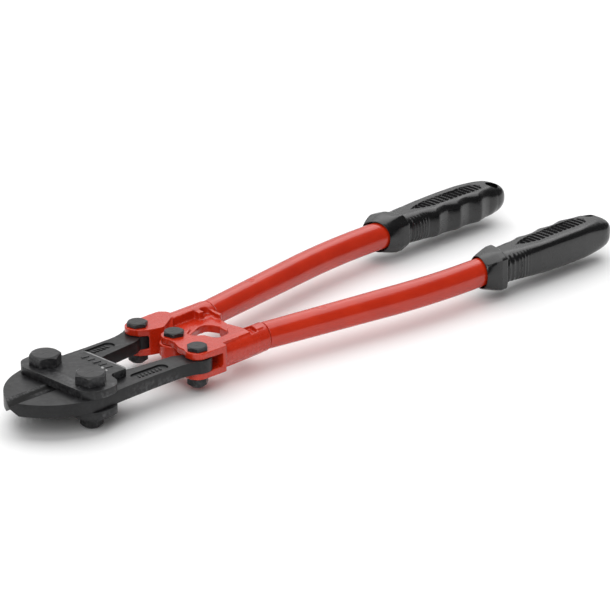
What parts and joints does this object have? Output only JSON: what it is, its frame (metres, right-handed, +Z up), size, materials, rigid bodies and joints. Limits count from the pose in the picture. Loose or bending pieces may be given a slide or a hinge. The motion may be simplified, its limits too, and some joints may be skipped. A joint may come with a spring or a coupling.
{
  "type": "bolt cutters",
  "caption": "Compound-lever bolt cutters with forged jaws between link plates, cast sockets, long tube handles and moulded grips; the jaws open and close with the handles.",
  "frame": {"origin": "centre of the tool's outline at rest with its jaws closed, on the plane it lies on", "axes": "+X from the jaw tips to the grip ends, +Y across the tool, +Z up from the surface it lies on"},
  "size_m": [0.4486, 0.1156, 0.033],
  "materials": {
    "red_paint": "gloss",
    "dark_steel": "satin",
    "bolt_steel": "satin",
    "black_grip": "semi-gloss"
  },
  "bodies": {
    "links": {"upper_plate": "dark_steel", "lower_plate": "dark_steel", "front_bolt_near": "bolt_steel", "front_bolt_far": "bolt_steel", "front_nut_near": "bolt_steel", "front_nut_far": "bolt_steel"},
    "near_jaw": {"jaw_near": "dark_steel"},
    "far_jaw": {"jaw_far": "dark_steel"},
    "near_handle": {"casting_near": "red_paint", "tube_near": "red_paint", "grip_near": "black_grip", "rear_bolt_near": "bolt_steel", "rear_nut_near": "bolt_steel", "center_bolt": "bolt_steel", "center_nut": "bolt_steel"},
    "far_handle": {"casting_far": "red_paint", "tube_far": "red_paint", "grip_far": "black_grip", "rear_bolt_far": "bolt_steel", "rear_nut_far": "bolt_steel"}
  },
  "joints": [
    {"name": "near_jaw_pivot", "type": "hinge", "parent": "links", "child": "near_jaw", "pos_m": [-0.182, -0.0192, 0.0179], "axis": [0, 0, 1], "range_deg": [0, 7.94]},
    {"name": "far_jaw_pivot", "type": "hinge", "parent": "links", "child": "far_jaw", "pos_m": [-0.182, 0.0192, 0.0179], "axis": [0, 0, -1], "range_deg": [0, 7.94]},
    {"name": "near_handle_pivot", "type": "hinge", "parent": "near_jaw", "child": "near_handle", "pos_m": [-0.1072, -0.0253, 0.0179], "axis": [0, 0, -1], "range_deg": [0, 53.6]},
    {"name": "far_handle_pivot", "type": "hinge", "parent": "far_jaw", "child": "far_handle", "pos_m": [-0.1072, 0.0253, 0.0179], "axis": [0, 0, 1], "range_deg": [0, 53.6]}
  ],
  "couplings": [
    {"joint": "near_jaw_pivot", "follows": "near_handle_pivot", "ratio": 0.148},
    {"joint": "far_jaw_pivot", "follows": "near_handle_pivot", "ratio": 0.148},
    {"joint": "far_handle_pivot", "follows": "near_handle_pivot", "ratio": 1}
  ]
}
